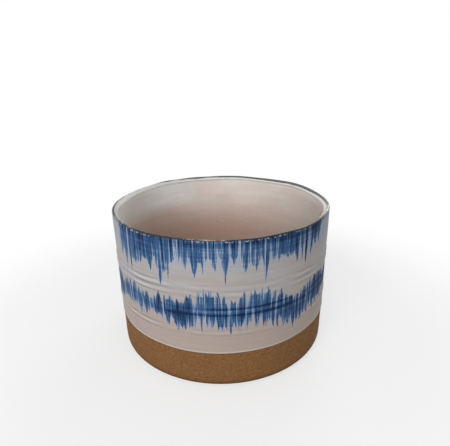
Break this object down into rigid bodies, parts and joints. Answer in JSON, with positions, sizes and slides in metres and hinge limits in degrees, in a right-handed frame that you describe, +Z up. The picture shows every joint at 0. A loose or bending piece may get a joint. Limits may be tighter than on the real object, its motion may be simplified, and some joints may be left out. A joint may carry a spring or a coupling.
{
  "type": "cachepot",
  "caption": "Straight-sided round stoneware cachepot with a bare clay foot band, white glaze, cobalt brushed bands, a bevelled lip and felt pads.",
  "frame": {"origin": "centre of the pot on the surface that its felt pads stand on", "axes": "+Z up along the pot's axis, -Y towards the side seen in the picture, +X to the right seen from there"},
  "size_m": [0.1786, 0.1786, 0.1162],
  "materials": {
    "stoneware": "bare fired brown stoneware, matt and finely grained",
    "white_glaze": "warm white satin glaze with fine throwing lines",
    "liner_glaze": "warm beige white satin glaze",
    "cobalt_glaze": "cobalt blue brushed glaze in upright strokes",
    "slate_glaze": "dark slate line where the glaze breaks on the crest",
    "felt": "dark grey self-adhesive felt"
  },
  "bodies": {
    "root": {"clay_body": "stoneware", "outer_glaze": "white_glaze", "lip_glaze": "white_glaze", "rim_line": "slate_glaze", "liner_glaze": "liner_glaze", "cobalt_rim_band": "cobalt_glaze", "cobalt_middle_band": "cobalt_glaze", "felt_pad_front": "felt", "felt_pad_right": "felt", "felt_pad_back": "felt", "felt_pad_left": "felt"}
  },
  "joints": []
}
